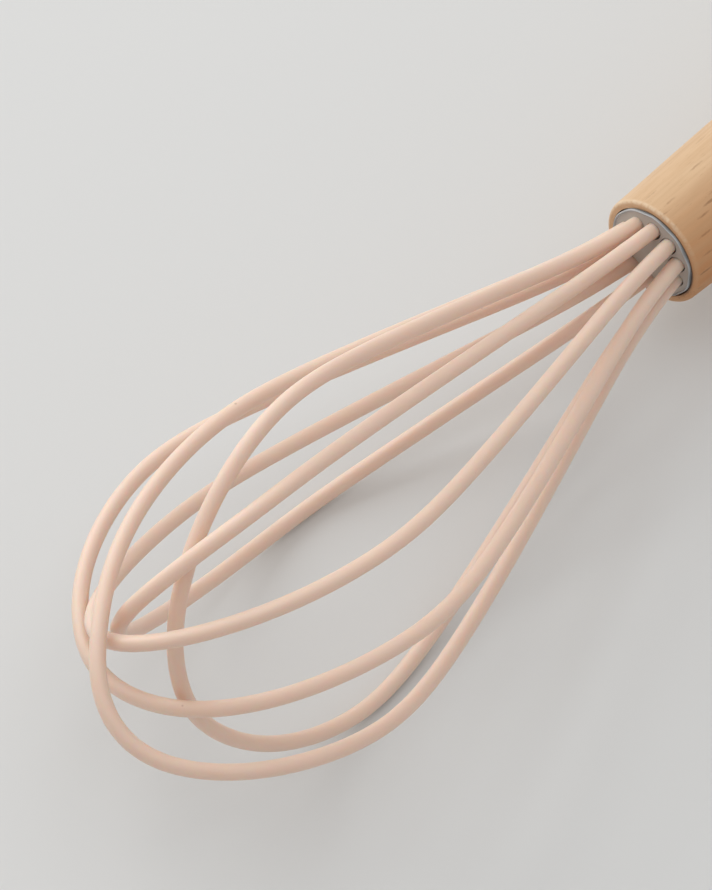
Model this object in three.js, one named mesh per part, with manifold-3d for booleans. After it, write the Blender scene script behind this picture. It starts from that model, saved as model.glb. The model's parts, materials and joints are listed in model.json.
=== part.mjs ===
// Balloon whisk lying on a table: a turned beech handle, a grey plug set in its mouth, and five
// springy wire loops in silicone sleeves. Millimetres, +Z up, the head points along +X.

import * as THREE from 'three';
import { mergeVertices } from 'three/addons/utils/BufferGeometryUtils.js';
import Module from 'manifold-3d';

const wasm = await Module();
wasm.setup();

// Handle, measured from its mouth backwards
const HANDLE_LENGTH = 128;
const MOUTH_WALL = 1.5;
const MOUTH_ROUNDING = 0.9;
const SWELL_RISE = 1.5;
const SWELL_AT = 52;
const REAR_RISE = 0.3;
const BUTT_ROUNDING = 12;
const BUTT_FLAT_INSET = 5.8;

// Silicone sleeve and steel core
const SLEEVE_DIAMETER = 3;
const CORE_DIAMETER = 1.2;
const CORE_GAP = 0.2;

// Plug in the mouth, with a ring of holes for the sleeves, and the resin behind it
const FIT_GAP = 0.3;
const PLUG_DEPTH = 10;
const PLUG_LIP_WIDTH = 0.5;
const PLUG_LIP_RISE = 0.35;
const PLUG_DOME = 1.2;
const HOLE_WEB = 0.28;
const HOLE_EDGE = 1.1;
const RING_TURN = 22;
const SLEEVE_END_INSET = 1;
const RESIN_COVER = 4;

// How the head stands on the handle and how full the curves of the wires are
const HEAD_TURN = 2;
const HEAD_SET_ANGLE = 2;
const NECK_FULLNESS = 0.14;
const SHOULDER_FULLNESS = 0.2;
const BELLY_FULLNESS = 0.55;
const TIP_FULLNESS = 0.49;

// Each loop has two sides that leave opposite holes and meet at the tip. "at" is how far from the
// plug a side is widest, "out" its distance from the axis there and "off" how far it stands off the
// loop's own plane. The tip lies "reach" from the plug, "aside" in the plane, "over" off the plane,
// and "lean" is the slope of the wire there.
const LOOPS = [
  {
    reach: 133.5, aside: -4, over: -9.5, lean: 0,
    sides: [{ at: 92, out: 32, off: 6 }, { at: 93.5, out: 31, off: -6 }],
  },
  {
    reach: 134.5, aside: -1, over: 5, lean: 0.1,
    sides: [{ at: 90, out: 27.5, off: 1 }, { at: 93, out: 27.5, off: 2.5 }],
  },
  {
    reach: 130.5, aside: 2.5, over: 6, lean: 0.1,
    sides: [{ at: 101, out: 25.5, off: 3 }, { at: 73.5, out: 35, off: 7.5 }],
  },
  {
    reach: 127, aside: -11, over: -4.5, lean: 0.2,
    sides: [{ at: 90, out: 31, off: -5 }, { at: 89, out: 38.5, off: -7 }],
  },
  {
    reach: 142, aside: 0.5, over: -3.5, lean: -0.6,
    sides: [{ at: 91.5, out: 23, off: 1.5 }, { at: 101.5, out: 34, off: -10.5 }],
  },
];

// Facets
const TURNED_SEGMENTS = 36;
const BODY_STEPS = 8;
const BUTT_STEPS = 7;
const DOME_STEPS = 6;
const EDGE_STEPS = 4;
const HOLE_SEGMENTS = 12;
const SLEEVE_SIDES = 10;
const CORE_SIDES = 5;
const SLEEVE_STEPS = 54;
const TAIL_STEPS = 2;
const MERGE_DISTANCE = 1e-4;

// Finding how the whisk lies
const STEEPEST_TILT = 30;
const TILT_HALVINGS = 24;

const radians = THREE.MathUtils.degToRad;

// Sizes that follow from the ones above: the holes stand a web apart, and plug and mouth fit round them
const END_COUNT = 2 * LOOPS.length;
const LOOP_PITCH = 360 / END_COUNT;
const SLEEVE_RADIUS = SLEEVE_DIAMETER / 2;
const CORE_RADIUS = CORE_DIAMETER / 2;
const HOLE_RADIUS = SLEEVE_RADIUS + FIT_GAP;
const RING_RADIUS = (HOLE_RADIUS + HOLE_WEB / 2) / Math.sin(radians(LOOP_PITCH / 2));
const PLUG_RADIUS = RING_RADIUS + HOLE_RADIUS + HOLE_EDGE;
const BORE_RADIUS = PLUG_RADIUS + FIT_GAP;
const MOUTH_RADIUS = BORE_RADIUS + MOUTH_WALL;
const SWELL_RADIUS = MOUTH_RADIUS + SWELL_RISE;
const REAR_RADIUS = MOUTH_RADIUS + REAR_RISE;
const BUTT_FLAT_RADIUS = REAR_RADIUS - BUTT_FLAT_INSET;
const SLEEVE_SET_IN = PLUG_DEPTH - SLEEVE_END_INSET;
const RESIN_FRONT = PLUG_DEPTH + FIT_GAP;

const SILICONE = { color: 0xe6c3ac, roughness: 0.62, metalness: 0 };
const BEECH = { color: 0xcfa878, roughness: 0.58, metalness: 0 };
const GREY_PLASTIC = { color: 0x9c968f, roughness: 0.5, metalness: 0 };
const SPRING_STEEL = { color: 0xb9bbbd, roughness: 0.35, metalness: 1 };
const RESIN = { color: 0xd8c9a8, roughness: 0.3, metalness: 0 };

// Closed surface with shared corners and without the slivers that lie on a turning axis
function closed(geometry) {
  geometry.deleteAttribute('normal');
  geometry.deleteAttribute('uv');
  const merged = mergeVertices(geometry, MERGE_DISTANCE);
  const corners = merged.index.array;
  const kept = [];
  for (let i = 0; i < corners.length; i += 3) {
    const [a, b, c] = corners.slice(i, i + 3);
    if (a !== b && b !== c && c !== a) {
      kept.push(a, b, c);
    }
  }
  merged.setIndex(kept);
  return merged;
}

function toManifold(geometry) {
  const body = closed(geometry);
  const mesh = new wasm.Mesh({
    numProp: 3,
    vertProperties: new Float32Array(body.attributes.position.array),
    triVerts: new Uint32Array(body.index.array),
  });
  return new wasm.Manifold(mesh);
}

function fromManifold(manifold) {
  const mesh = manifold.getMesh();
  const geometry = new THREE.BufferGeometry();
  geometry.setAttribute('position', new THREE.BufferAttribute(mesh.vertProperties, 3));
  geometry.setIndex(new THREE.BufferAttribute(mesh.triVerts, 1));
  return geometry;
}

function named(name, geometry, look) {
  geometry.computeVertexNormals();
  const mesh = new THREE.Mesh(geometry, new THREE.MeshStandardMaterial(look));
  mesh.name = name;
  return mesh;
}

// Profile points hold a distance from the axis and a place along it
function turned(profile) {
  const geometry = new THREE.LatheGeometry(profile, TURNED_SEGMENTS);
  geometry.rotateZ(-Math.PI / 2);
  return geometry;
}

function point(radius, along) {
  return new THREE.Vector2(radius, along);
}

// Rounded corner from one point to the other, bulging to where their tangents cross
function rounded(start, corner, end, divisions) {
  return new THREE.QuadraticBezierCurve(start, corner, end).getPoints(divisions);
}

function handleGeometry(boreDepth) {
  const buttStart = BUTT_ROUNDING - HANDLE_LENGTH;
  const butt = rounded(
    point(BUTT_FLAT_RADIUS, -HANDLE_LENGTH),
    point(REAR_RADIUS, -HANDLE_LENGTH),
    point(REAR_RADIUS, buttStart),
    BUTT_STEPS,
  );
  const body = new THREE.SplineCurve([
    point(REAR_RADIUS, buttStart),
    point(SWELL_RADIUS, -SWELL_AT),
    point(MOUTH_RADIUS, -MOUTH_ROUNDING),
  ]).getPoints(BODY_STEPS);
  const mouth = rounded(
    point(MOUTH_RADIUS, -MOUTH_ROUNDING),
    point(MOUTH_RADIUS, 0),
    point(MOUTH_RADIUS - MOUTH_ROUNDING, 0),
    EDGE_STEPS,
  );
  return closed(turned([
    point(0, -HANDLE_LENGTH),
    ...butt,
    ...body.slice(1),
    ...mouth.slice(1),
    point(BORE_RADIUS, 0),
    point(BORE_RADIUS, -boreDepth),
    point(0, -boreDepth),
  ]));
}

// Straight rods along X at the ten places of the wire ends
function endRods(radius, front, back) {
  let rods = null;
  for (let i = 0; i < END_COUNT; i += 1) {
    const angle = radians(i * LOOP_PITCH + RING_TURN);
    const rod = new THREE.CylinderGeometry(radius, radius, front - back, HOLE_SEGMENTS);
    rod.rotateZ(-Math.PI / 2);
    rod.translate((front + back) / 2, RING_RADIUS * Math.cos(angle), RING_RADIUS * Math.sin(angle));
    const solid = toManifold(rod);
    rods = rods ? rods.add(solid) : solid;
  }
  return rods;
}

// Low domed face with a thin raised lip, bored through for the sleeves
function plugGeometry() {
  const lipInside = PLUG_RADIUS - PLUG_LIP_WIDTH;
  const lipTop = point(PLUG_RADIUS - PLUG_LIP_WIDTH / 2, 2 * PLUG_LIP_RISE);
  const lip = rounded(point(PLUG_RADIUS, 0), lipTop, point(lipInside, 0), EDGE_STEPS);
  const domeSide = point(lipInside / 2, PLUG_DOME);
  const dome = rounded(point(lipInside, 0), domeSide, point(0, PLUG_DOME), DOME_STEPS);
  const body = turned([point(0, -PLUG_DEPTH), point(PLUG_RADIUS, -PLUG_DEPTH), ...lip, ...dome.slice(1)]);
  const holes = endRods(HOLE_RADIUS, PLUG_DEPTH, -2 * PLUG_DEPTH);
  return fromManifold(toManifold(body).subtract(holes));
}

// Block of resin that the bare ends of the cores are sunk in
function resinGeometry(tailDepth, backDepth) {
  const body = turned([
    point(0, -backDepth),
    point(PLUG_RADIUS, -backDepth),
    point(PLUG_RADIUS, -RESIN_FRONT),
    point(0, -RESIN_FRONT),
  ]);
  const holes = endRods(CORE_RADIUS + FIT_GAP, 0, -tailDepth - FIT_GAP);
  return fromManifold(toManifold(body).subtract(holes));
}

// Bends of one side from its hole to the tip, as two cubic curves
function sideCurves(loop, side, sign, angle) {
  const plane = new THREE.Matrix4().makeRotationX(angle);
  const set = new THREE.Matrix4().makeRotationY(-radians(HEAD_SET_ANGLE)).multiply(plane);
  const inHead = (along, out, off) => new THREE.Vector3(along, out, off).applyMatrix4(set);
  const holeAngle = angle + radians(RING_TURN - HEAD_TURN);
  const holeY = sign * RING_RADIUS * Math.cos(holeAngle);
  const holeZ = sign * RING_RADIUS * Math.sin(holeAngle);
  const out = sign * side.out;
  const hole = new THREE.Vector3(0, holeY, holeZ);
  const neck = new THREE.Vector3(NECK_FULLNESS * side.at, holeY, holeZ);
  const shoulder = inHead(side.at * (1 - SHOULDER_FULLNESS), out, side.off);
  const belly = inHead(side.at, out, side.off);
  const turn = inHead(side.at + BELLY_FULLNESS * (loop.reach - side.at), out, side.off);
  const spread = TIP_FULLNESS * (out - loop.aside);
  const bend = inHead(loop.reach + spread * loop.lean, loop.aside + spread, loop.over);
  const tip = inHead(loop.reach, loop.aside, loop.over);
  return [
    new THREE.CubicBezierCurve3(hole, neck, shoulder, belly),
    new THREE.CubicBezierCurve3(belly, turn, bend, tip),
  ];
}

function backwards(curve) {
  return new THREE.CubicBezierCurve3(curve.v3, curve.v2, curve.v1, curve.v0);
}

// Whole wire from one end in the plug, round the tip, to the end in the opposite hole
function wirePath(loop, angle, setIn) {
  const [first, second] = loop.sides;
  const there = sideCurves(loop, first, 1, angle);
  const back = sideCurves(loop, second, -1, angle).map(backwards).reverse();
  const start = there[0].v0;
  const end = back[1].v3;
  const wayOut = new THREE.LineCurve3(new THREE.Vector3(-setIn, start.y, start.z), start);
  const wayIn = new THREE.LineCurve3(end, new THREE.Vector3(-setIn, end.y, end.z));
  const path = new THREE.CurvePath();
  [wayOut, ...there, ...back, wayIn].forEach((curve) => path.add(curve));
  return path;
}

function polygon(radius, sides) {
  const corners = [];
  for (let i = 0; i < sides; i += 1) {
    const angle = 2 * Math.PI * i / sides;
    corners.push(point(radius * Math.cos(angle), radius * Math.sin(angle)));
  }
  return corners;
}

function swept(shape, path, steps) {
  return closed(new THREE.ExtrudeGeometry(shape, { steps, bevelEnabled: false, extrudePath: path }));
}

const whisk = new THREE.Group();
whisk.name = 'whisk';
const lying = new THREE.Group();
lying.name = 'lying';
whisk.add(lying);

// The core shares the sleeve's bends, and its tails reach whole steps further into the resin
const sleeveShape = new THREE.Shape(polygon(SLEEVE_RADIUS, SLEEVE_SIDES));
sleeveShape.holes.push(new THREE.Path(polygon(CORE_RADIUS + CORE_GAP, CORE_SIDES)));
const coreShape = new THREE.Shape(polygon(CORE_RADIUS, CORE_SIDES));
let tailDepth = 0;
LOOPS.forEach((loop, index) => {
  const angle = radians(index * LOOP_PITCH + HEAD_TURN);
  const sleevePath = wirePath(loop, angle, SLEEVE_SET_IN);
  const coreDepth = SLEEVE_SET_IN + TAIL_STEPS * sleevePath.getLength() / SLEEVE_STEPS;
  const corePath = wirePath(loop, angle, coreDepth);
  const sleeve = swept(sleeveShape, sleevePath, SLEEVE_STEPS);
  const core = swept(coreShape, corePath, SLEEVE_STEPS + 2 * TAIL_STEPS);
  lying.add(named(`loop_${index + 1}_sleeve`, sleeve, SILICONE));
  lying.add(named(`loop_${index + 1}_core`, core, SPRING_STEEL));
  tailDepth = Math.max(tailDepth, coreDepth);
});
const resinDepth = tailDepth + RESIN_COVER;
lying.add(named('handle', handleGeometry(resinDepth + FIT_GAP), BEECH));
lying.add(named('plug', plugGeometry(), GREY_PLASTIC));
lying.add(named('resin', resinGeometry(tailDepth, resinDepth), RESIN));

// Lowest height of some of the pieces once the whisk is tilted
function lowest(tilt, wanted) {
  lying.rotation.y = -tilt;
  whisk.updateMatrixWorld(true);
  const box = new THREE.Box3();
  lying.children.filter(wanted).forEach((piece) => box.expandByObject(piece, true));
  return box.min.z;
}

// The whisk rests on its lowest wires and on the rim of its butt
const isHandle = (piece) => piece.name === 'handle';
const isSleeve = (piece) => piece.name.endsWith('_sleeve');
let flattest = 0;
let steepest = radians(STEEPEST_TILT);
for (let i = 0; i < TILT_HALVINGS; i += 1) {
  const tilt = (flattest + steepest) / 2;
  if (lowest(tilt, isHandle) > lowest(tilt, isSleeve)) {
    flattest = tilt;
  } else {
    steepest = tilt;
  }
}
const floor = lowest(flattest, () => true);

// The frame's origin is the middle of the underside of the whole whisk
const middle = new THREE.Box3().setFromObject(whisk, true).getCenter(new THREE.Vector3());
lying.position.set(-middle.x, -middle.y, -floor);

export default whisk;
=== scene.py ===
# Balloon whisk on a pale table: beech handle, grey plug and five silicone covered wire loops

import json
import math

import bpy
from mathutils import Matrix, Vector


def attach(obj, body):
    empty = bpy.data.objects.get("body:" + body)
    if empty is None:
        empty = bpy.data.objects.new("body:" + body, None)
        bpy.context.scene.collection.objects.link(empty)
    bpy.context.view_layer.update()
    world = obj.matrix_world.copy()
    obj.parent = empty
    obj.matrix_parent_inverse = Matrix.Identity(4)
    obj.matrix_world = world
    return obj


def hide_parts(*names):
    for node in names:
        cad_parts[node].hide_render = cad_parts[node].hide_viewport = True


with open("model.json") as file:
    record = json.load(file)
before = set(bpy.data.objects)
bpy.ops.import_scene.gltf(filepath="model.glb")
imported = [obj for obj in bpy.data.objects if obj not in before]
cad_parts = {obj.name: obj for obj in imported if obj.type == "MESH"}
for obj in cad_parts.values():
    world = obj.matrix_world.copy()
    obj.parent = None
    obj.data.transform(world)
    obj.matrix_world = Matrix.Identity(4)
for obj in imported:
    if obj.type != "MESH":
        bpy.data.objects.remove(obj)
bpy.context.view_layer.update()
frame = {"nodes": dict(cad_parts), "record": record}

MM = 0.001

# Sizes of the turned handle
HANDLE_LENGTH = 128 * MM
MOUTH_RADIUS = 10.98 * MM
MOUTH_ROUNDING = 0.9 * MM
SWELL_RADIUS = 12.48 * MM
SWELL_AT = 52 * MM
REAR_RADIUS = 11.28 * MM
BUTT_ROUNDING = 12 * MM
BUTT_FLAT_RADIUS = 5.48 * MM
BORE_RADIUS = 9.48 * MM
BORE_DEPTH = 27.7 * MM

# Sizes of the plug in the mouth
PLUG_RADIUS = 9.18 * MM
PLUG_DEPTH = 10 * MM
DOME_RISE = 1.2 * MM
HOLE_RADIUS = 1.7 * MM
HOLE_SHIFT = 0.16 * MM
HOLE_COUNT = 10
HOLE_RING_RADIUS = 6.278 * MM
HOLE_RING_TURN = math.radians(22)
PIN_LENGTH = 4 * PLUG_DEPTH

# The plug's thin rim, how it is bent out of true, and how far from its edge the bending reaches
LIP_WIDTH = 0.32 * MM
LIP_RISE = 0.3 * MM
LIP_FLARE = 0.17 * MM
LIP_WAVE = 0.36 * MM
LIP_SHIFT = 0.08 * MM
LIP_BENT_WIDTH = 3 * LIP_WIDTH
LIP_BENT_DEPTH = 2 * MM
LIP_WAVING_SIDE = math.radians(45)

# Silicone sleeve
SLEEVE_RADIUS = 1.45 * MM
SLEEVE_SET_IN = 9 * MM

# How the head stands on the handle, and how full the bends of its wires are
HEAD_TURN = math.radians(2)
HEAD_SET_ANGLE = math.radians(2)
LOOP_PITCH = math.radians(36)
NECK_FULLNESS = 0.14
SHOULDER_FULLNESS = 0.2
BELLY_FULLNESS = 0.55
TIP_FULLNESS = 0.49

# Each loop's tip (reach, aside, over, lean) and the bellies of its two sides (at, out, off), in mm
LOOPS = (
    ((133.5, -4, -9.5, 0), (92, 32, 6), (93.5, 31, -6)),
    ((134.5, -1, 5, 0.1), (90, 27.5, 1), (93, 27.5, 2.5)),
    ((130.5, 2.5, 6, 0.1), (101, 25.5, 3), (73.5, 35, 7.5)),
    ((127, -11, -4.5, 0.2), (90, 31, -5), (89, 38.5, -7)),
    ((142, 0.5, -3.5, -0.6), (91.5, 23, 1.5), (101.5, 34, -10.5)),
)

# How the joins between the bends of a wire are evened out
EASING_ROUNDS = 60
EASING = 0.5

# How finely the pieces are divided, and the angles in degrees above which an edge stays sharp
HANDLE_STEPS = 20
HANDLE_SEGMENTS = 96
HANDLE_SHARP = 40
PLUG_STEPS = 12
PLUG_SEGMENTS = 120
PLUG_SHARP = 35
PIN_SIDES = 32
WIRE_STEPS = 20
SLEEVE_STEPS = 3
SLEEVE_ROUNDNESS = 8
SLEEVE_SHARP = 40
WELD_DISTANCE = 0.001 * MM

# How far a curve's handles reach: to the corner that a bend rounds off, and along a smooth line
CORNER_REACH = 2 / 3
LINE_REACH = 1 / 6

# Camera, from the place on the table that it is aimed at
CAMERA_AIM = Vector((48.145, -21.809, 0)) * MM
CAMERA_AZIMUTH = math.radians(43.845)
CAMERA_ELEVATION = math.radians(57.978)
CAMERA_DISTANCE = 870.7 * MM
CAMERA_LENS = 193.31
CAMERA_SENSOR = 36

# Lamps, sky and table
LIGHT_AIM = Vector((0.03, 0, 0.02))
SKY_STRENGTH = 0.55
TABLE_SIZE = 4
TABLE_COLOUR = (0.68, 0.68, 0.672)

# Colours of the wood, the plug, the silicone, the steel and the resin
BEECH_DEEP = (0.66, 0.445, 0.26)
BEECH_PALE = (0.775, 0.565, 0.365)
BEECH_RING = (0.55, 0.335, 0.18)
BEECH_GRAIN = (0.46, 0.27, 0.135)
BEECH_FLECK = (0.24, 0.11, 0.045)
# Painted shade: the +Y side of the handle, away from the window, is painted deeper and redder
BEECH_PAINTED_SHADE = (0.48, 0.155, 0.02)
# Painted shadow in the gap between the plug and the wood
BEECH_PAINTED_SHADOW = (0.07, 0.035, 0.02)
BEECH_END = (0.56, 0.31, 0.16)
# Pale edge of the mouth: partly rubbed wear, partly a painted highlight
BEECH_RUBBED_HIGHLIGHT = (0.80, 0.64, 0.46)
GREY_DEEP = (0.36, 0.305, 0.265)
GREY_PALE = (0.47, 0.41, 0.36)
# Painted highlight along the plug's rim
GREY_RIM_HIGHLIGHT = (0.46, 0.465, 0.47)
SILICONE_DEEP = (0.69, 0.50, 0.375)
SILICONE_PALE = (0.73, 0.54, 0.415)
SILICONE_SPECK = (0.34, 0.17, 0.1)
STEEL_DARK = (0.4, 0.41, 0.42)
STEEL_BRIGHT = (0.56, 0.57, 0.58)
RESIN_DEEP = (0.55, 0.41, 0.22)
RESIN_PALE = (0.74, 0.62, 0.42)

# Where the wood's rubbed edge with its painted highlight, the plug's rim with its painted highlight and
# the painted shadow in the gap between them lie, in millimetres
CORNER_START = 10.2
CORNER_FULL = 10.5
RIM_HIGHLIGHT_START = 8.7
RIM_HIGHLIGHT_FULL = 8.9
GAP_SHADOW_FULL = 9.6
GAP_SHADOW_END = 9.95
GAP_SHADOW_BACK = -1
GAP_SHADOW_FRONT = -0.5
END_GRAIN_START = -0.35
END_GRAIN_FULL = -0.05

# The log's pith beside the handle, and where, across the handle, the painted shade deepens, the flecks
# deepen, the painted highlight on the mouth's edge fades and the painted shadow in the gap comes in
PITH = (0, 34 * MM, -52 * MM)
PAINTED_SHADE_START = -3 * MM
PAINTED_SHADE_FULL = 11 * MM
FLECK_START = -8 * MM
FLECK_FULL = 6 * MM
RUBBED_HIGHLIGHT_FULL = 2 * MM
RUBBED_HIGHLIGHT_END = 9 * MM
GAP_SHADOW_SIDE_FULL = 8 * MM

# How ragged the dashes of the wood are, how far they are drawn out along it and how they slant
DASH_RAGGEDNESS = (0.4 * MM, 0.25 * MM, 0.25 * MM)
DASH_STRETCH = (0.12, 1, 1)
DASH_TURN = (0, 0.05, 0.09)

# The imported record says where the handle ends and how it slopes
butt = next(mount for mount in frame["record"]["mounts"] if mount["name"] == "butt_face")
FORWARD = -Vector(butt["axis"])
MOUTH = Vector(butt["pos_m"]) + FORWARD * HANDLE_LENGTH
SLOPE = math.atan2(FORWARD.z, FORWARD.x)
LYING = Matrix.Translation(MOUTH) @ Matrix.Rotation(-SLOPE, 4, "Y")


# Modelling by hand

def start_clean():
    if bpy.context.object and bpy.context.object.mode != "OBJECT":
        bpy.ops.object.mode_set(mode="OBJECT")
    bpy.ops.object.select_all(action="DESELECT")


def pick(piece):
    start_clean()
    piece.select_set(True)
    bpy.context.view_layer.objects.active = piece


def lay_down(piece):
    """Puts a piece that was made along the X axis where the whisk lies, with its place in its mesh."""
    pick(piece)
    piece.matrix_world = LYING
    bpy.ops.object.transform_apply(location=True, rotation=True, scale=True)


def apply_modifier(piece, kind, **settings):
    modifier = piece.modifiers.new(kind.title(), kind)
    for name, value in settings.items():
        setattr(modifier, name, value)
    pick(piece)
    bpy.ops.object.modifier_apply(modifier=modifier.name)


def smooth(piece, angle):
    pick(piece)
    bpy.ops.object.shade_smooth_by_angle(angle=math.radians(angle))


def bent_line(name, knots, resolution):
    """Curve through knots, each a place with its handles before and after it, or None for straight."""
    start_clean()
    bpy.ops.curve.primitive_bezier_curve_add(location=(0, 0, 0))
    line = bpy.context.object
    line.name = name
    line.data.resolution_u = resolution
    points = line.data.splines[0].bezier_points
    points.add(len(knots) - len(points))
    for point, (place, before, after) in zip(points, knots):
        point.co = place
        point.handle_left_type = "FREE" if before else "VECTOR"
        point.handle_right_type = "FREE" if after else "VECTOR"
        point.handle_left = before or place
        point.handle_right = after or place
    return line


def to_mesh(piece):
    pick(piece)
    bpy.ops.object.convert(target="MESH")


def ease(line):
    """Evens out the bends of a line made of several arcs, and gives back what that draws in."""
    to_mesh(line)
    bpy.ops.object.mode_set(mode="EDIT")
    bpy.ops.mesh.select_all(action="SELECT")
    for _ in range(EASING_ROUNDS):
        bpy.ops.mesh.vertices_smooth(factor=EASING)
        bpy.ops.mesh.vertices_smooth(factor=-EASING)
    bpy.ops.object.mode_set(mode="OBJECT")
    bpy.ops.object.convert(target="CURVE")
    bpy.ops.object.mode_set(mode="EDIT")
    bpy.ops.curve.select_all(action="SELECT")
    bpy.ops.curve.spline_type_set(type="BEZIER")
    bpy.ops.curve.handle_type_set(type="AUTOMATIC")
    bpy.ops.object.mode_set(mode="OBJECT")


def turned(name, knots, resolution, segments):
    """Piece turned about the X axis from an outline whose knots hold a place along it and a radius."""
    outline = []
    for knot in knots:
        outline.append([Vector((spot[0], 0, spot[1])) if spot else None for spot in knot])
    piece = bent_line(name, outline, resolution)
    to_mesh(piece)
    bpy.ops.object.mode_set(mode="EDIT")
    bpy.ops.mesh.select_all(action="SELECT")
    bpy.ops.mesh.spin(steps=segments, angle=2 * math.pi, center=(0, 0, 0), axis=(1, 0, 0))
    bpy.ops.mesh.select_all(action="SELECT")
    bpy.ops.mesh.remove_doubles(threshold=WELD_DISTANCE)
    bpy.ops.mesh.normals_make_consistent(inside=False)
    bpy.ops.object.mode_set(mode="OBJECT")
    return piece


def towards(start, end, share):
    return (start[0] + (end[0] - start[0]) * share, start[1] + (end[1] - start[1]) * share)


# Handle

def make_handle():
    butt_edge = (-HANDLE_LENGTH, BUTT_FLAT_RADIUS)
    butt_corner = (-HANDLE_LENGTH, REAR_RADIUS)
    rear = (BUTT_ROUNDING - HANDLE_LENGTH, REAR_RADIUS)
    swell = (-SWELL_AT, SWELL_RADIUS)
    front = (-MOUTH_ROUNDING, MOUTH_RADIUS)
    mouth_corner = (0, MOUTH_RADIUS)
    mouth_edge = (0, MOUTH_RADIUS - MOUTH_ROUNDING)
    swell_reach = (front[0] - rear[0]) * LINE_REACH
    swell_before = (swell[0] - swell_reach, SWELL_RADIUS)
    swell_after = (swell[0] + swell_reach, SWELL_RADIUS)
    piece = turned("turned_handle", (
        ((-HANDLE_LENGTH, 0), None, None),
        (butt_edge, None, towards(butt_edge, butt_corner, CORNER_REACH)),
        (rear, towards(rear, butt_corner, CORNER_REACH), towards(rear, swell, LINE_REACH)),
        (swell, swell_before, swell_after),
        (front, towards(front, swell, LINE_REACH), towards(front, mouth_corner, CORNER_REACH)),
        (mouth_edge, towards(mouth_edge, mouth_corner, CORNER_REACH), None),
        ((0, BORE_RADIUS), None, None),
        ((-BORE_DEPTH, BORE_RADIUS), None, None),
        ((-BORE_DEPTH, 0), None, None),
    ), HANDLE_STEPS, HANDLE_SEGMENTS)
    smooth(piece, HANDLE_SHARP)
    lay_down(piece)
    return piece


# Plug

def make_hole_pins():
    """Ten pins in a ring, to bore the plug with."""
    pins = []
    for number in range(HOLE_COUNT):
        angle = HOLE_RING_TURN + number * 2 * math.pi / HOLE_COUNT
        aside = HOLE_RING_RADIUS * math.cos(angle) + HOLE_SHIFT
        above = HOLE_RING_RADIUS * math.sin(angle)
        start_clean()
        bpy.ops.mesh.primitive_cylinder_add(
            vertices=PIN_SIDES, radius=HOLE_RADIUS, depth=PIN_LENGTH,
            location=(0, aside, above), rotation=(0, math.pi / 2, 0))
        pins.append(bpy.context.object)
    start_clean()
    for pin in pins:
        pin.select_set(True)
    bpy.context.view_layer.objects.active = pins[0]
    bpy.ops.object.join()
    return pins[0]


def bend_rim(piece):
    """Flares the thin rim, sets it nearer to one side of the mouth and waves it on the other side."""
    for vertex in piece.data.vertices:
        radius = math.hypot(vertex.co.y, vertex.co.z)
        if not radius:
            continue
        near_rim = max(0, 1 - abs(radius - PLUG_RADIUS) / LIP_BENT_WIDTH)
        near_face = max(0, 1 - abs(vertex.co.x) / LIP_BENT_DEPTH)
        angle = math.atan2(vertex.co.z, vertex.co.y)
        wave = LIP_WAVE * (1 - math.cos(HOLE_COUNT * (angle - HOLE_RING_TURN))) / 2
        waving_side = (1 + math.cos(angle - LIP_WAVING_SIDE)) / 2
        spread = (LIP_FLARE - wave * waving_side) * near_rim * near_face
        vertex.co.y *= 1 + spread / radius
        vertex.co.z *= 1 + spread / radius
        vertex.co.y -= LIP_SHIFT * near_rim * near_face
        vertex.co.z -= LIP_SHIFT * near_rim * near_face


def make_plug():
    lip_inside = PLUG_RADIUS - LIP_WIDTH
    lip_top = (2 * LIP_RISE, PLUG_RADIUS - LIP_WIDTH / 2)
    outer = (0, PLUG_RADIUS)
    inner = (0, lip_inside)
    dome_side = (DOME_RISE, lip_inside / 2)
    dome_top = (DOME_RISE, 0)
    piece = turned("bored_plug", (
        ((-PLUG_DEPTH, 0), None, None),
        ((-PLUG_DEPTH, PLUG_RADIUS), None, None),
        (outer, None, towards(outer, lip_top, CORNER_REACH)),
        (inner, towards(inner, lip_top, CORNER_REACH), towards(inner, dome_side, CORNER_REACH)),
        (dome_top, towards(dome_top, dome_side, CORNER_REACH), None),
    ), PLUG_STEPS, PLUG_SEGMENTS)
    bend_rim(piece)
    pins = make_hole_pins()
    apply_modifier(piece, "BOOLEAN", object=pins, operation="DIFFERENCE", solver="EXACT")
    bpy.data.objects.remove(pins)
    smooth(piece, PLUG_SHARP)
    lay_down(piece)
    return piece


# Wire loops in their sleeves

def wire_side(loop, belly, side, number):
    """Places of one side of a loop from its hole to the tip, in the whisk's own frame."""
    reach, aside, over, lean = loop
    at, out, off = belly
    angle = number * LOOP_PITCH
    set_out = Matrix.Rotation(-HEAD_SET_ANGLE, 3, "Y") @ Matrix.Rotation(angle + HEAD_TURN, 3, "X")
    out *= side
    spread = TIP_FULLNESS * (out - aside)
    hole = Matrix.Rotation(angle + HOLE_RING_TURN, 3, "X") @ Vector((0, side * HOLE_RING_RADIUS, 0))
    in_head = {
        "shoulder": (at * (1 - SHOULDER_FULLNESS), out, off),
        "belly": (at, out, off),
        "turn": (at + BELLY_FULLNESS * (reach - at), out, off),
        "bend": (reach + spread * lean, aside + spread, over),
        "tip": (reach, aside, over),
    }
    places = {name: set_out @ Vector(place) * MM for name, place in in_head.items()}
    places["end"] = hole - Vector((SLEEVE_SET_IN, 0, 0))
    places["hole"] = hole
    places["neck"] = hole + Vector((NECK_FULLNESS * at * MM, 0, 0))
    return places


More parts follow.
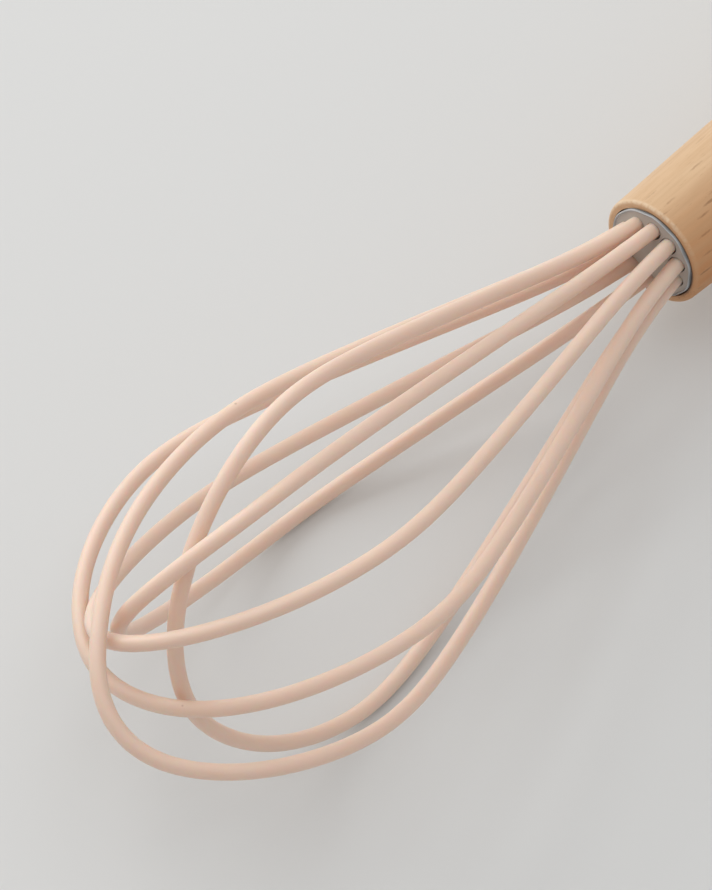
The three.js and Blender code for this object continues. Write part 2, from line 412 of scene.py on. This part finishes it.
def make_sleeve(number):
    loop, first_belly, second_belly = LOOPS[number]
    one = wire_side(loop, first_belly, 1, number)
    two = wire_side(loop, second_belly, -1, number)
    piece = bent_line(f"silicone_sleeve_{number + 1}", (
        (one["end"], None, None),
        (one["hole"], None, one["neck"]),
        (one["belly"], one["shoulder"], one["turn"]),
        (one["tip"], one["bend"], two["bend"]),
        (two["belly"], two["turn"], two["shoulder"]),
        (two["hole"], two["neck"], None),
        (two["end"], None, None),
    ), WIRE_STEPS)
    ease(piece)
    piece.data.resolution_u = SLEEVE_STEPS
    piece.data.dimensions = "3D"
    piece.data.bevel_depth = SLEEVE_RADIUS
    piece.data.bevel_resolution = SLEEVE_ROUNDNESS
    piece.data.use_fill_caps = True
    to_mesh(piece)
    smooth(piece, SLEEVE_SHARP)
    lay_down(piece)
    return piece


# Shader nodes

def set_inputs(node, values):
    """Sets inputs of a node by their names, with underscores in place of spaces."""
    for name, value in values.items():
        node.inputs[name.replace("_", " ")].default_value = value


def put(tree, kind, **values):
    made = tree.nodes.new(kind)
    set_inputs(made, values)
    return made


def math_node(tree, operation, first, second=0):
    made = tree.nodes.new("ShaderNodeMath")
    made.operation = operation
    for socket, value in zip(made.inputs, (first, second)):
        if isinstance(value, bpy.types.NodeSocket):
            tree.links.new(value, socket)
        else:
            socket.default_value = value
    return made.outputs[0]


def range_node(tree, value, low, high, to_low=0, to_high=1):
    """Value that goes from to_low to to_high while another goes from low to high."""
    made = put(tree, "ShaderNodeMapRange", From_Min=low, From_Max=high, To_Min=to_low, To_Max=to_high)
    tree.links.new(value, made.inputs["Value"])
    return made.outputs["Result"]


def blend_node(tree, factor, first, second):
    """Colour between two others, each a socket or a plain colour."""
    made = tree.nodes.new("ShaderNodeMix")
    made.data_type = "RGBA"
    tree.links.new(factor, made.inputs[0])
    for socket, colour in ((made.inputs[6], first), (made.inputs[7], second)):
        if isinstance(colour, bpy.types.NodeSocket):
            tree.links.new(colour, socket)
        else:
            socket.default_value = (*colour, 1)
    return made.outputs[2]


def new_group(name, inputs, outputs):
    """Empty group of shader nodes, with inputs as name, kind and start value."""
    tree = bpy.data.node_groups.new(name, "ShaderNodeTree")
    for label, kind, start in inputs:
        socket = tree.interface.new_socket(name=label, in_out="INPUT", socket_type=kind)
        if start is not None:
            socket.default_value = start
    for label, kind in outputs:
        tree.interface.new_socket(name=label, in_out="OUTPUT", socket_type=kind)
    return tree, tree.nodes.new("NodeGroupInput"), tree.nodes.new("NodeGroupOutput")


def place_group(tree, group, vector, **values):
    made = tree.nodes.new("ShaderNodeGroup")
    made.node_tree = group
    set_inputs(made, values)
    tree.links.new(vector, made.inputs["Vector"])
    return made.outputs


def bump(tree, shader, height, distance, strength):
    made = put(tree, "ShaderNodeBump", Strength=strength, Distance=distance)
    tree.links.new(height, made.inputs["Height"])
    tree.links.new(made.outputs["Normal"], shader.inputs["Normal"])


# Groups that several finishes use

def make_streaks_group():
    """Streaks drawn out along X, for the grain of wood and the marks of drawn wire."""
    tree, given, result = new_group("drawn_out_streaks", (
        ("Vector", "NodeSocketVector", None),
        ("Fineness", "NodeSocketFloat", 900),
        ("Length", "NodeSocketFloat", 20),
    ), (("Streaks", "NodeSocketFloat"),))
    shorten = put(tree, "ShaderNodeCombineXYZ", Y=1, Z=1)
    tree.links.new(math_node(tree, "DIVIDE", 1, given.outputs["Length"]), shorten.inputs["X"])
    stretched = tree.nodes.new("ShaderNodeVectorMath")
    stretched.operation = "MULTIPLY"
    tree.links.new(given.outputs["Vector"], stretched.inputs[0])
    tree.links.new(shorten.outputs[0], stretched.inputs[1])
    noise = put(tree, "ShaderNodeTexNoise", Detail=3, Roughness=0.6)
    tree.links.new(stretched.outputs[0], noise.inputs["Vector"])
    tree.links.new(given.outputs["Fineness"], noise.inputs["Scale"])
    tree.links.new(noise.outputs["Fac"], result.inputs["Streaks"])
    return tree


def make_mottle_group():
    """Soft cloudy mask and a fine even tooth, for moulded and cast surfaces."""
    tree, given, result = new_group("cloud_and_tooth", (
        ("Vector", "NodeSocketVector", None),
        ("Cloud Scale", "NodeSocketFloat", 60),
        ("Tooth Scale", "NodeSocketFloat", 3000),
    ), (("Cloud", "NodeSocketFloat"), ("Tooth", "NodeSocketFloat")))
    for label, detail in (("Cloud", 4), ("Tooth", 2)):
        noise = put(tree, "ShaderNodeTexNoise", Detail=detail, Roughness=0.55)
        tree.links.new(given.outputs["Vector"], noise.inputs["Vector"])
        tree.links.new(given.outputs[f"{label} Scale"], noise.inputs["Scale"])
        tree.links.new(noise.outputs["Fac"], result.inputs[label])
    return tree


def make_turning_group():
    """How far a place is along the turning axis and away from it, in millimetres."""
    tree, given, result = new_group("along_and_away", (
        ("Vector", "NodeSocketVector", None),
    ), (("Along", "NodeSocketFloat"), ("Away", "NodeSocketFloat")))
    split = tree.nodes.new("ShaderNodeSeparateXYZ")
    tree.links.new(given.outputs["Vector"], split.inputs[0])
    aside = math_node(tree, "POWER", split.outputs["Y"], 2)
    above = math_node(tree, "POWER", split.outputs["Z"], 2)
    away = math_node(tree, "SQRT", math_node(tree, "ADD", aside, above))
    tree.links.new(math_node(tree, "DIVIDE", split.outputs["X"], MM), result.inputs["Along"])
    tree.links.new(math_node(tree, "DIVIDE", away, MM), result.inputs["Away"])
    return tree


def make_flecks_group():
    """Short dashes along X that stand here and there, a little ragged."""
    tree, given, result = new_group("scattered_dashes", (
        ("Vector", "NodeSocketVector", None),
        ("Closeness", "NodeSocketFloat", 700),
        ("Width", "NodeSocketFloat", 0.12),
        ("Share", "NodeSocketFloat", 0.5),
    ), (("Dashes", "NodeSocketFloat"),))
    ragged = put(tree, "ShaderNodeTexNoise", Scale=1400, Detail=2)
    tree.links.new(given.outputs["Vector"], ragged.inputs["Vector"])
    shift = tree.nodes.new("ShaderNodeVectorMath")
    shift.operation = "MULTIPLY_ADD"
    shift.inputs[1].default_value = DASH_RAGGEDNESS
    tree.links.new(ragged.outputs["Color"], shift.inputs[0])
    tree.links.new(given.outputs["Vector"], shift.inputs[2])
    drawn_out = put(tree, "ShaderNodeMapping", Scale=DASH_STRETCH, Rotation=DASH_TURN)
    tree.links.new(shift.outputs[0], drawn_out.inputs["Vector"])
    cells = put(tree, "ShaderNodeTexVoronoi", Randomness=1)
    tree.links.new(drawn_out.outputs["Vector"], cells.inputs["Vector"])
    tree.links.new(given.outputs["Closeness"], cells.inputs["Scale"])
    split = tree.nodes.new("ShaderNodeSeparateColor")
    tree.links.new(cells.outputs["Color"], split.inputs["Color"])
    chosen = math_node(tree, "LESS_THAN", split.outputs["Red"], given.outputs["Share"])
    depth = range_node(tree, split.outputs["Green"], 0, 1, to_low=0.45)
    from_middle = math_node(tree, "DIVIDE", cells.outputs["Distance"], given.outputs["Width"])
    dash = range_node(tree, from_middle, 0.5, 1, to_low=1, to_high=0)
    shown = math_node(tree, "MULTIPLY", math_node(tree, "MULTIPLY", dash, chosen), depth)
    tree.links.new(shown, result.inputs["Dashes"])
    return tree


# Finishes

def new_material(name, roughness, **settings):
    """Material with its Principled shader, and the whisk's own coordinates in metres from the mouth."""
    material = bpy.data.materials.new(name)
    material.use_nodes = True
    tree = material.node_tree
    shader = tree.nodes["Principled BSDF"]
    shader.inputs["Roughness"].default_value = roughness
    set_inputs(shader, settings)
    coordinates = tree.nodes.new("ShaderNodeTexCoord")
    own = put(tree, "ShaderNodeMapping", Location=MOUTH, Rotation=(0, -SLOPE, 0))
    own.vector_type = "TEXTURE"
    tree.links.new(coordinates.outputs["Object"], own.inputs["Vector"])
    return material, tree, shader, own.outputs["Vector"]


def make_beech(streaks, dashes, turning):
    """Honey beech: faint year rings, fine straight grain and short dark flecks along it, with painted
    shade, a painted highlight and a painted shadow.
    """
    material, tree, shader, own = new_material("oiled_beech", 0.5, Specular_IOR_Level=0.35)
    pith = put(tree, "ShaderNodeMapping", Location=PITH)
    tree.links.new(own, pith.inputs["Vector"])
    rings = put(tree, "ShaderNodeTexWave", Scale=120, Distortion=3.5, Detail=2, Detail_Scale=0.6)
    rings.wave_type = "RINGS"
    rings.rings_direction = "X"
    tree.links.new(pith.outputs["Vector"], rings.inputs["Vector"])
    broad = place_group(tree, streaks, own, Fineness=140, Length=9)["Streaks"]
    fine = place_group(tree, streaks, own, Fineness=1500, Length=28)["Streaks"]
    fleck = place_group(tree, dashes, own, Closeness=860, Width=0.27, Share=0.55)["Dashes"]
    pore = place_group(tree, dashes, own, Closeness=2400, Width=0.25, Share=0.7)["Dashes"]
    place = place_group(tree, turning, own)
    across = tree.nodes.new("ShaderNodeSeparateXYZ")
    tree.links.new(own, across.inputs[0])

    # Plain wood with painted shade on its +Y side, away from the window, and its rings, grain, pores
    # and flecks
    colour = blend_node(tree, range_node(tree, broad, 0.3, 0.7), BEECH_DEEP, BEECH_PALE)
    # Painted shade, deepening towards +Y, the side away from the window
    painted_shade_side = range_node(tree, across.outputs["Y"], PAINTED_SHADE_START, PAINTED_SHADE_FULL, to_high=0.8)
    colour = blend_node(tree, painted_shade_side, colour, BEECH_PAINTED_SHADE)
    ring = range_node(tree, rings.outputs["Fac"], 0, 1, to_high=0.3)
    colour = blend_node(tree, ring, colour, BEECH_RING)
    grain = range_node(tree, fine, 0.4, 0.75, to_high=0.25)
    colour = blend_node(tree, grain, colour, BEECH_GRAIN)
    colour = blend_node(tree, math_node(tree, "MULTIPLY", pore, 0.4), colour, BEECH_GRAIN)
    deepening = range_node(tree, across.outputs["Y"], FLECK_START, FLECK_FULL, to_low=0.3, to_high=0.85)
    colour = blend_node(tree, math_node(tree, "MULTIPLY", fleck, deepening), colour, BEECH_FLECK)

    # The end grain is more orange, and the rounded edge of the mouth is painted pale: partly rubbed
    # wear, partly a painted highlight that fades towards the +Y side, away from the window
    end_grain = range_node(tree, place["Along"], END_GRAIN_START, END_GRAIN_FULL, to_high=0.55)
    colour = blend_node(tree, end_grain, colour, BEECH_END)
    corner = math_node(tree, "ADD", place["Along"], place["Away"])
    corner = range_node(tree, corner, CORNER_START, CORNER_FULL)
    highlight_fading = range_node(tree, across.outputs["Y"], RUBBED_HIGHLIGHT_FULL, RUBBED_HIGHLIGHT_END, to_low=1, to_high=0.15)
    uneven = range_node(tree, fine, 0.35, 0.6, to_low=0.1, to_high=0.6)
    rubbing_and_highlight = math_node(tree, "MULTIPLY", highlight_fading, uneven)
    colour = blend_node(tree, math_node(tree, "MULTIPLY", corner, rubbing_and_highlight), colour, BEECH_RUBBED_HIGHLIGHT)

    # Painted shadow: a dark line in the gap where the plug stands off from the wood, darkest towards +Y
    # and +Z
    at_mouth = range_node(tree, place["Along"], GAP_SHADOW_BACK, GAP_SHADOW_FRONT)
    at_bore = range_node(tree, place["Away"], GAP_SHADOW_FULL, GAP_SHADOW_END, to_low=1, to_high=0)
    gap_shadow = math_node(tree, "MULTIPLY", at_mouth, at_bore)
    gap_shadow_side = math_node(tree, "ADD", across.outputs["Y"], across.outputs["Z"])
    gap_shadow_side = range_node(tree, gap_shadow_side, 0, GAP_SHADOW_SIDE_FULL, to_high=0.9)
    colour = blend_node(tree, math_node(tree, "MULTIPLY", gap_shadow, gap_shadow_side), colour, BEECH_PAINTED_SHADOW)
    tree.links.new(colour, shader.inputs["Base Color"])

    gloss = range_node(tree, fine, 0.3, 0.7, to_low=0.44, to_high=0.6)
    tree.links.new(gloss, shader.inputs["Roughness"])
    height = math_node(tree, "SUBTRACT", math_node(tree, "MULTIPLY", fine, -0.5), fleck)
    bump(tree, shader, height, distance=0.08 * MM, strength=0.5)
    return material


def make_grey_plastic(mottle, turning):
    """Warm grey moulded plastic with a satin tooth and a painted highlight along its rim."""
    material, tree, shader, own = new_material("warm_grey_plastic", 0.42)
    outputs = place_group(tree, mottle, own, Cloud_Scale=260, Tooth_Scale=5200)
    place = place_group(tree, turning, own)
    colour = blend_node(tree, outputs["Cloud"], GREY_DEEP, GREY_PALE)
    # Painted highlight: the rim is painted a paler bluish grey
    rim = range_node(tree, place["Away"], RIM_HIGHLIGHT_START, RIM_HIGHLIGHT_FULL)
    tree.links.new(blend_node(tree, rim, colour, GREY_RIM_HIGHLIGHT), shader.inputs["Base Color"])
    gloss = range_node(tree, outputs["Cloud"], 0.3, 0.7, to_low=0.36, to_high=0.5)
    tree.links.new(gloss, shader.inputs["Roughness"])
    bump(tree, shader, outputs["Tooth"], distance=0.03 * MM, strength=0.4)
    return material


def make_silicone(mottle):
    """Matte blush silicone that lets light in a little way, with a few dark specks."""
    material, tree, shader, own = new_material(
        "blush_silicone", 0.7, Subsurface_Weight=0.7, Subsurface_Scale=3.8 * MM,
        Subsurface_Radius=(1, 0.45, 0.22), IOR=1.8, Specular_IOR_Level=1,
        Coat_Weight=1, Coat_Roughness=0.6, Coat_IOR=1.7)
    outputs = place_group(tree, mottle, own, Cloud_Scale=70, Tooth_Scale=4200)
    colour = blend_node(tree, outputs["Cloud"], SILICONE_DEEP, SILICONE_PALE)
    specks = put(tree, "ShaderNodeTexVoronoi", Scale=300, Randomness=1)
    tree.links.new(own, specks.inputs["Vector"])
    split = tree.nodes.new("ShaderNodeSeparateColor")
    tree.links.new(specks.outputs["Color"], split.inputs["Color"])
    rare = range_node(tree, split.outputs["Green"], 0.965, 0.97, to_high=0.55)
    dot = range_node(tree, specks.outputs["Distance"], 0.05, 0.09, to_low=1, to_high=0)
    speckled = blend_node(tree, math_node(tree, "MULTIPLY", rare, dot), colour, SILICONE_SPECK)
    tree.links.new(speckled, shader.inputs["Base Color"])
    gloss = range_node(tree, outputs["Cloud"], 0.3, 0.7, to_low=0.66, to_high=0.76)
    tree.links.new(gloss, shader.inputs["Roughness"])
    bump(tree, shader, outputs["Tooth"], distance=0.02 * MM, strength=0.35)
    return material


def make_drawn_steel(streaks):
    """Spring steel wire with the fine lines of the die that it was drawn through."""
    material, tree, shader, own = new_material("drawn_spring_steel", 0.32, Metallic=1)
    lines = place_group(tree, streaks, own, Fineness=6000, Length=30)["Streaks"]
    tree.links.new(blend_node(tree, lines, STEEL_DARK, STEEL_BRIGHT), shader.inputs["Base Color"])
    gloss = range_node(tree, lines, 0.3, 0.7, to_low=0.26, to_high=0.42)
    tree.links.new(gloss, shader.inputs["Roughness"])
    bump(tree, shader, lines, distance=0.01 * MM, strength=0.4)
    return material


def make_resin(mottle):
    """Pale amber casting resin, a little cloudy."""
    material, tree, shader, own = new_material("pale_amber_resin", 0.25, Coat_Weight=0.2)
    outputs = place_group(tree, mottle, own, Cloud_Scale=180, Tooth_Scale=1600)
    colour = blend_node(tree, outputs["Cloud"], RESIN_DEEP, RESIN_PALE)
    tree.links.new(colour, shader.inputs["Base Color"])
    gloss = range_node(tree, outputs["Cloud"], 0.3, 0.7, to_low=0.2, to_high=0.36)
    tree.links.new(gloss, shader.inputs["Roughness"])
    bump(tree, shader, outputs["Tooth"], distance=0.02 * MM, strength=0.3)
    return material


def dress(piece, material):
    piece.data.materials.clear()
    piece.data.materials.append(material)


def stand_for(piece, node, material):
    dress(piece, material)
    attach(piece, "root")
    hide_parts(node)


def add_lamp(name, place, width, power, colour):
    data = bpy.data.lights.new(name, "AREA")
    data.shape = "DISK"
    data.size = width
    data.energy = power
    data.color = colour
    lamp = bpy.data.objects.new(name, data)
    lamp.location = place
    lamp.rotation_euler = (LIGHT_AIM - Vector(place)).to_track_quat("-Z", "Y").to_euler()
    bpy.context.scene.collection.objects.link(lamp)


# Whisk
streaks = make_streaks_group()
mottle = make_mottle_group()
silicone = make_silicone(mottle)
steel = make_drawn_steel(streaks)
turning = make_turning_group()
beech = make_beech(streaks, make_flecks_group(), turning)
stand_for(make_handle(), "handle", beech)
stand_for(make_plug(), "plug", make_grey_plastic(mottle, turning))
for number in range(len(LOOPS)):
    stand_for(make_sleeve(number), f"loop_{number + 1}_sleeve", silicone)
    dress(frame["nodes"][f"loop_{number + 1}_core"], steel)
dress(frame["nodes"]["resin"], make_resin(mottle))

# Pale table
start_clean()
bpy.ops.mesh.primitive_plane_add(size=TABLE_SIZE, location=(0, 0, 0))
table = bpy.context.object
table.name = "table"
paint = bpy.data.materials.new("pale_table")
paint.use_nodes = True
paint_shader = paint.node_tree.nodes["Principled BSDF"]
paint_shader.inputs["Base Color"].default_value = (*TABLE_COLOUR, 1)
paint_shader.inputs["Roughness"].default_value = 0.9
paint_shader.inputs["Specular IOR Level"].default_value = 0.1
dress(table, paint)

# Soft light from the far left of the camera and from above, and an even sky
add_lamp("window", place=(0, -0.95, 0.5), width=1.2, power=6.1, colour=(1, 1, 0.99))
add_lamp("ceiling", place=(0, -0.2, 1.3), width=1.6, power=6, colour=(1, 1, 1))
world = bpy.data.worlds.new("soft_room")
world.use_nodes = True
sky = world.node_tree.nodes["Background"]
sky.inputs["Color"].default_value = (1, 1, 1, 1)
sky.inputs["Strength"].default_value = SKY_STRENGTH
bpy.context.scene.world = world

# Camera
camera_data = bpy.data.cameras.new("camera")
camera_data.lens = CAMERA_LENS
camera_data.sensor_width = CAMERA_SENSOR
camera = bpy.data.objects.new("camera", camera_data)
outward = Vector((
    math.cos(CAMERA_ELEVATION) * math.cos(CAMERA_AZIMUTH),
    math.cos(CAMERA_ELEVATION) * math.sin(CAMERA_AZIMUTH),
    math.sin(CAMERA_ELEVATION),
))
camera.location = CAMERA_AIM + outward * CAMERA_DISTANCE
camera.rotation_euler = (-outward).to_track_quat("-Z", "Y").to_euler()
bpy.context.scene.collection.objects.link(camera)
bpy.context.scene.camera = camera
bpy.context.scene.view_settings.view_transform = "Standard"
